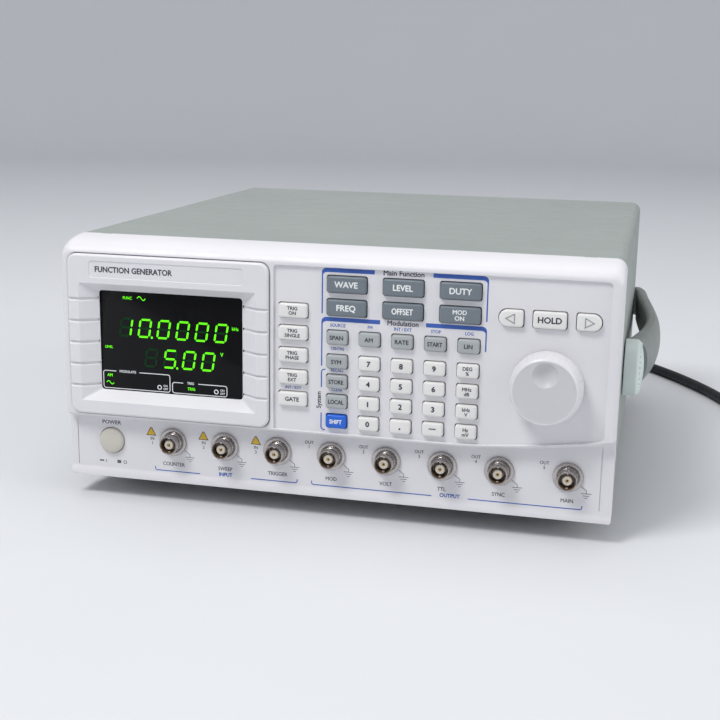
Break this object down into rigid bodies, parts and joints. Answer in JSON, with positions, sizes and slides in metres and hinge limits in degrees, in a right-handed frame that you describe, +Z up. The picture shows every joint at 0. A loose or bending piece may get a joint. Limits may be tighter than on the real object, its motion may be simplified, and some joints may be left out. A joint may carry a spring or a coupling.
{
  "type": "function generator",
  "caption": "Bench signal source in a sheet-metal case: sloped display window, keypad, dial knob, coaxial sockets along the bottom, swinging bail handle and mains lead.",
  "frame": {"origin": "middle of the standing surface, under the bounding box of the instrument without its lead", "axes": "+Z up, the front panel faces -Y, +X to the right seen from the front"},
  "size_m": [0.4942, 0.4324, 0.142],
  "materials": {
    "bezel": "light grey moulded plastic, fine satin texture",
    "key_white": "off-white moulded plastic, satin",
    "key_grey": "mid grey moulded plastic, satin",
    "key_dark": "dark grey moulded plastic, satin",
    "key_blue": "bright blue moulded plastic, satin",
    "window": "smoked clear plastic over a green glowing display",
    "board": "green circuit board with parts",
    "jack": "nickel plate, slightly dulled",
    "power_button": "cream moulded plastic",
    "cover": "grey-green textured paint",
    "chassis": "zinc-plated sheet steel",
    "handle": "grey-green moulded plastic",
    "hub": "pale green-grey moulded plastic",
    "rubber": "black rubber",
    "lead": "black flexible sheath"
  },
  "bodies": {
    "case": {"front_bezel": "bezel", "display_surround": "bezel", "display_window": "window", "front_board": "board", "coaxial_sockets": "jack", "case_cover": "cover", "chassis": "chassis", "main_board": "board", "lead_connector": "lead", "mains_lead": "lead", "lead_coil": "lead", "wall_plug": "lead", "foot_front_left": "rubber", "foot_front_right": "rubber", "foot_rear_left": "rubber", "foot_rear_right": "rubber"},
    "handle": {"handle": "handle", "hub_left": "hub", "hub_right": "hub"},
    "knob": {"knob": "key_white"},
    "power_button": {"power_button": "power_button"},
    "key_gate_on": {"key_gate_on": "key_white"},
    "key_gate_single": {"key_gate_single": "key_white"},
    "key_gate_phase": {"key_gate_phase": "key_white"},
    "key_gate_external": {"key_gate_external": "key_white"},
    "key_gate_time": {"key_gate_time": "key_white"},
    "key_waveform": {"key_waveform": "key_dark"},
    "key_amplitude": {"key_amplitude": "key_dark"},
    "key_duty": {"key_duty": "key_dark"},
    "key_frequency": {"key_frequency": "key_dark"},
    "key_offset": {"key_offset": "key_dark"},
    "key_modulation": {"key_modulation": "key_dark"},
    "key_span": {"key_span": "key_grey"},
    "key_am": {"key_am": "key_grey"},
    "key_rate": {"key_rate": "key_grey"},
    "key_start": {"key_start": "key_grey"},
    "key_linear": {"key_linear": "key_grey"},
    "key_shift": {"key_shift": "key_blue"},
    "key_0": {"key_0": "key_white"},
    "key_point": {"key_point": "key_white"},
    "key_minus": {"key_minus": "key_white"},
    "key_unit_hz": {"key_unit_hz": "key_white"},
    "key_remote": {"key_remote": "key_grey"},
    "key_1": {"key_1": "key_white"},
    "key_2": {"key_2": "key_white"},
    "key_3": {"key_3": "key_white"},
    "key_unit_khz": {"key_unit_khz": "key_white"},
    "key_store": {"key_store": "key_grey"},
    "key_4": {"key_4": "key_white"},
    "key_5": {"key_5": "key_white"},
    "key_6": {"key_6": "key_white"},
    "key_unit_mhz": {"key_unit_mhz": "key_white"},
    "key_symmetry": {"key_symmetry": "key_grey"},
    "key_7": {"key_7": "key_white"},
    "key_8": {"key_8": "key_white"},
    "key_9": {"key_9": "key_white"},
    "key_unit_degree": {"key_unit_degree": "key_white"},
    "key_cursor_left": {"key_cursor_left": "key_white"},
    "key_hold": {"key_hold": "key_white"},
    "key_cursor_right": {"key_cursor_right": "key_white"}
  },
  "joints": [
    {"name": "handle_swing", "type": "hinge", "parent": "case", "child": "handle", "pos_m": [0, -0.098, 0.0789], "axis": [1, 0, 0], "range_deg": [0, 195]},
    {"name": "knob_turn", "type": "hinge", "parent": "case", "child": "knob", "pos_m": [0.1106, -0.165, 0.0802], "axis": [0, -1, 0], "continuous": true},
    {"name": "power_press", "type": "slide", "parent": "case", "child": "power_button", "axis": [0, 1, 0], "range_m": [-0.003, 0.0008]},
    {"name": "key_gate_on_press", "type": "slide", "parent": "case", "child": "key_gate_on", "axis": [0, 1, 0], "range_m": [0, 0.0013], "stiffness_N_per_m": 600, "springref_m": -0.0004},
    {"name": "key_gate_single_press", "type": "slide", "parent": "case", "child": "key_gate_single", "axis": [0, 1, 0], "range_m": [0, 0.0013], "stiffness_N_per_m": 600, "springref_m": -0.0004},
    {"name": "key_gate_phase_press", "type": "slide", "parent": "case", "child": "key_gate_phase", "axis": [0, 1, 0], "range_m": [0, 0.0013], "stiffness_N_per_m": 600, "springref_m": -0.0004},
    {"name": "key_gate_external_press", "type": "slide", "parent": "case", "child": "key_gate_external", "axis": [0, 1, 0], "range_m": [0, 0.0013], "stiffness_N_per_m": 600, "springref_m": -0.0004},
    {"name": "key_gate_time_press", "type": "slide", "parent": "case", "child": "key_gate_time", "axis": [0, 1, 0], "range_m": [0, 0.0013], "stiffness_N_per_m": 600, "springref_m": -0.0004},
    {"name": "key_waveform_press", "type": "slide", "parent": "case", "child": "key_waveform", "axis": [0, 1, 0], "range_m": [0, 0.0013], "stiffness_N_per_m": 600, "springref_m": -0.0004},
    {"name": "key_amplitude_press", "type": "slide", "parent": "case", "child": "key_amplitude", "axis": [0, 1, 0], "range_m": [0, 0.0013], "stiffness_N_per_m": 600, "springref_m": -0.0004},
    {"name": "key_duty_press", "type": "slide", "parent": "case", "child": "key_duty", "axis": [0, 1, 0], "range_m": [0, 0.0013], "stiffness_N_per_m": 600, "springref_m": -0.0004},
    {"name": "key_frequency_press", "type": "slide", "parent": "case", "child": "key_frequency", "axis": [0, 1, 0], "range_m": [0, 0.0013], "stiffness_N_per_m": 600, "springref_m": -0.0004},
    {"name": "key_offset_press", "type": "slide", "parent": "case", "child": "key_offset", "axis": [0, 1, 0], "range_m": [0, 0.0013], "stiffness_N_per_m": 600, "springref_m": -0.0004},
    {"name": "key_modulation_press", "type": "slide", "parent": "case", "child": "key_modulation", "axis": [0, 1, 0], "range_m": [0, 0.0013], "stiffness_N_per_m": 600, "springref_m": -0.0004},
    {"name": "key_span_press", "type": "slide", "parent": "case", "child": "key_span", "axis": [0, 1, 0], "range_m": [0, 0.0013], "stiffness_N_per_m": 600, "springref_m": -0.0004},
    {"name": "key_am_press", "type": "slide", "parent": "case", "child": "key_am", "axis": [0, 1, 0], "range_m": [0, 0.0013], "stiffness_N_per_m": 600, "springref_m": -0.0004},
    {"name": "key_rate_press", "type": "slide", "parent": "case", "child": "key_rate", "axis": [0, 1, 0], "range_m": [0, 0.0013], "stiffness_N_per_m": 600, "springref_m": -0.0004},
    {"name": "key_start_press", "type": "slide", "parent": "case", "child": "key_start", "axis": [0, 1, 0], "range_m": [0, 0.0013], "stiffness_N_per_m": 600, "springref_m": -0.0004},
    {"name": "key_linear_press", "type": "slide", "parent": "case", "child": "key_linear", "axis": [0, 1, 0], "range_m": [0, 0.0013], "stiffness_N_per_m": 600, "springref_m": -0.0004},
    {"name": "key_shift_press", "type": "slide", "parent": "case", "child": "key_shift", "axis": [0, 1, 0], "range_m": [0, 0.0013], "stiffness_N_per_m": 600, "springref_m": -0.0004},
    {"name": "key_0_press", "type": "slide", "parent": "case", "child": "key_0", "axis": [0, 1, 0], "range_m": [0, 0.0013], "stiffness_N_per_m": 600, "springref_m": -0.0004},
    {"name": "key_point_press", "type": "slide", "parent": "case", "child": "key_point", "axis": [0, 1, 0], "range_m": [0, 0.0013], "stiffness_N_per_m": 600, "springref_m": -0.0004},
    {"name": "key_minus_press", "type": "slide", "parent": "case", "child": "key_minus", "axis": [0, 1, 0], "range_m": [0, 0.0013], "stiffness_N_per_m": 600, "springref_m": -0.0004},
    {"name": "key_unit_hz_press", "type": "slide", "parent": "case", "child": "key_unit_hz", "axis": [0, 1, 0], "range_m": [0, 0.0013], "stiffness_N_per_m": 600, "springref_m": -0.0004},
    {"name": "key_remote_press", "type": "slide", "parent": "case", "child": "key_remote", "axis": [0, 1, 0], "range_m": [0, 0.0013], "stiffness_N_per_m": 600, "springref_m": -0.0004},
    {"name": "key_1_press", "type": "slide", "parent": "case", "child": "key_1", "axis": [0, 1, 0], "range_m": [0, 0.0013], "stiffness_N_per_m": 600, "springref_m": -0.0004},
    {"name": "key_2_press", "type": "slide", "parent": "case", "child": "key_2", "axis": [0, 1, 0], "range_m": [0, 0.0013], "stiffness_N_per_m": 600, "springref_m": -0.0004},
    {"name": "key_3_press", "type": "slide", "parent": "case", "child": "key_3", "axis": [0, 1, 0], "range_m": [0, 0.0013], "stiffness_N_per_m": 600, "springref_m": -0.0004},
    {"name": "key_unit_khz_press", "type": "slide", "parent": "case", "child": "key_unit_khz", "axis": [0, 1, 0], "range_m": [0, 0.0013], "stiffness_N_per_m": 600, "springref_m": -0.0004},
    {"name": "key_store_press", "type": "slide", "parent": "case", "child": "key_store", "axis": [0, 1, 0], "range_m": [0, 0.0013], "stiffness_N_per_m": 600, "springref_m": -0.0004},
    {"name": "key_4_press", "type": "slide", "parent": "case", "child": "key_4", "axis": [0, 1, 0], "range_m": [0, 0.0013], "stiffness_N_per_m": 600, "springref_m": -0.0004},
    {"name": "key_5_press", "type": "slide", "parent": "case", "child": "key_5", "axis": [0, 1, 0], "range_m": [0, 0.0013], "stiffness_N_per_m": 600, "springref_m": -0.0004},
    {"name": "key_6_press", "type": "slide", "parent": "case", "child": "key_6", "axis": [0, 1, 0], "range_m": [0, 0.0013], "stiffness_N_per_m": 600, "springref_m": -0.0004},
    {"name": "key_unit_mhz_press", "type": "slide", "parent": "case", "child": "key_unit_mhz", "axis": [0, 1, 0], "range_m": [0, 0.0013], "stiffness_N_per_m": 600, "springref_m": -0.0004},
    {"name": "key_symmetry_press", "type": "slide", "parent": "case", "child": "key_symmetry", "axis": [0, 1, 0], "range_m": [0, 0.0013], "stiffness_N_per_m": 600, "springref_m": -0.0004},
    {"name": "key_7_press", "type": "slide", "parent": "case", "child": "key_7", "axis": [0, 1, 0], "range_m": [0, 0.0013], "stiffness_N_per_m": 600, "springref_m": -0.0004},
    {"name": "key_8_press", "type": "slide", "parent": "case", "child": "key_8", "axis": [0, 1, 0], "range_m": [0, 0.0013], "stiffness_N_per_m": 600, "springref_m": -0.0004},
    {"name": "key_9_press", "type": "slide", "parent": "case", "child": "key_9", "axis": [0, 1, 0], "range_m": [0, 0.0013], "stiffness_N_per_m": 600, "springref_m": -0.0004},
    {"name": "key_unit_degree_press", "type": "slide", "parent": "case", "child": "key_unit_degree", "axis": [0, 1, 0], "range_m": [0, 0.0013], "stiffness_N_per_m": 600, "springref_m": -0.0004},
    {"name": "key_cursor_left_press", "type": "slide", "parent": "case", "child": "key_cursor_left", "axis": [0, 1, 0], "range_m": [0, 0.0013], "stiffness_N_per_m": 600, "springref_m": -0.0004},
    {"name": "key_hold_press", "type": "slide", "parent": "case", "child": "key_hold", "axis": [0, 1, 0], "range_m": [0, 0.0013], "stiffness_N_per_m": 600, "springref_m": -0.0004},
    {"name": "key_cursor_right_press", "type": "slide", "parent": "case", "child": "key_cursor_right", "axis": [0, 1, 0], "range_m": [0, 0.0013], "stiffness_N_per_m": 600, "springref_m": -0.0004}
  ]
}
